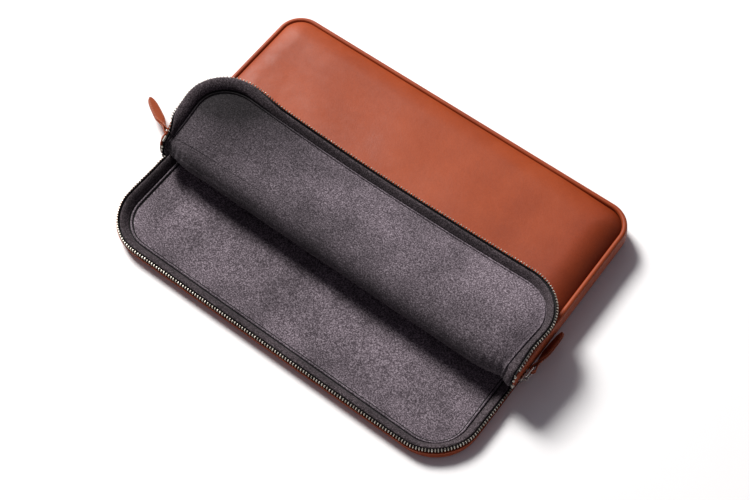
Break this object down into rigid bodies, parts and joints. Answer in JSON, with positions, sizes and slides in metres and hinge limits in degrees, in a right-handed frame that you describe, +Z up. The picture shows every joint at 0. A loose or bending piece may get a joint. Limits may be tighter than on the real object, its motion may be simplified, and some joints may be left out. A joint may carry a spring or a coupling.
{
  "type": "laptop sleeve",
  "caption": "Padded leather laptop sleeve with a lined compartment and a zip round three sides; the mouth flap is folded back over the closed half, and leather pull tabs hang from the sliders.",
  "frame": {"origin": "on the flat underside of the back panel, at the middle of its width and level with the middle of its length", "axes": "+X along the long side, +Y from the zipped open edge to the closed edge, +Z up out of the back panel as it lies on its back"},
  "size_m": [0.3832, 0.2484, 0.0424],
  "materials": {
    "leather": "smooth caramel leather, fine grain",
    "tab_leather": "smooth caramel leather strap, folded and stitched",
    "foam": "soft padding, not visible",
    "lining": "charcoal microsuede with a short speckled nap",
    "binding": "dark woven seam binding",
    "zip_tape": "black woven tape",
    "zip_metal": "antique pale brass teeth",
    "slider_metal": "polished antique nickel"
  },
  "bodies": {
    "sleeve": {"back_panel_leather": "leather", "back_panel_foam": "foam", "back_panel_lining": "lining", "back_welt": "leather", "back_seam_binding": "binding", "front_panel_leather": "leather", "front_panel_foam": "foam", "front_panel_lining": "lining", "front_welt": "leather", "front_seam_binding": "binding", "closed_wall_leather": "leather", "closed_wall_lining": "lining", "mouth_wall_leather": "leather", "mouth_wall_lining": "lining", "mouth_zip_tape": "zip_tape", "mouth_zip_chain": "zip_metal", "zip_stop_left": "zip_metal", "zip_stop_right": "zip_metal"},
    "fold": {"fold_leather": "leather", "fold_foam": "foam", "fold_lining": "lining"},
    "flap": {"flap_leather": "leather", "flap_foam": "foam", "flap_lining": "lining", "flap_welt": "leather", "flap_seam_binding": "binding", "flap_wall_leather": "leather", "flap_wall_lining": "lining", "flap_zip_tape": "zip_tape", "flap_zip_chain": "zip_metal"},
    "slider_left": {"slider_left": "slider_metal"},
    "link_left": {"pull_link_left": "slider_metal"},
    "tab_left": {"pull_tab_left": "tab_leather"},
    "slider_right": {"slider_right": "slider_metal"},
    "link_right": {"pull_link_right": "slider_metal"},
    "tab_right": {"pull_tab_right": "tab_leather"}
  },
  "joints": [
    {"name": "fold_lower", "type": "hinge", "parent": "sleeve", "child": "fold", "pos_m": [0, -0.04008, 0.02326], "axis": [1, 0, 0], "range_deg": [0, 93.4]},
    {"name": "fold_upper", "type": "hinge", "parent": "fold", "child": "flap", "pos_m": [0, -0.03959, 0.0314], "axis": [1, 0, 0], "range_deg": [0, 93.4]},
    {"name": "zip_slide_left", "type": "slide", "parent": "sleeve", "child": "slider_left", "axis": [0, -1, 0], "range_m": [0, 0.046]},
    {"name": "pull_link_left_swing", "type": "hinge", "parent": "slider_left", "child": "link_left", "pos_m": [-0.16905, -0.03, 0.0114], "axis": [0, 0, 1], "range_deg": [-57, 77]},
    {"name": "pull_tab_left_swing", "type": "hinge", "parent": "link_left", "child": "tab_left", "pos_m": [-0.17707, -0.02591, 0.0114], "axis": [0, 0, 1], "range_deg": [0, 30]},
    {"name": "zip_slide_right", "type": "slide", "parent": "sleeve", "child": "slider_right", "axis": [0, -1, 0], "range_m": [0, 0.046]},
    {"name": "pull_link_right_swing", "type": "hinge", "parent": "slider_right", "child": "link_right", "pos_m": [0.16905, -0.03, 0.0114], "axis": [0, 0, -1], "range_deg": [0, 138]},
    {"name": "pull_tab_right_swing", "type": "hinge", "parent": "link_right", "child": "tab_right", "pos_m": [0.16936, -0.02101, 0.0114], "axis": [0, 0, -1], "range_deg": [0, 30]}
  ],
  "couplings": [
    {"joint": "fold_upper", "follows": "fold_lower", "ratio": 1}
  ]
}
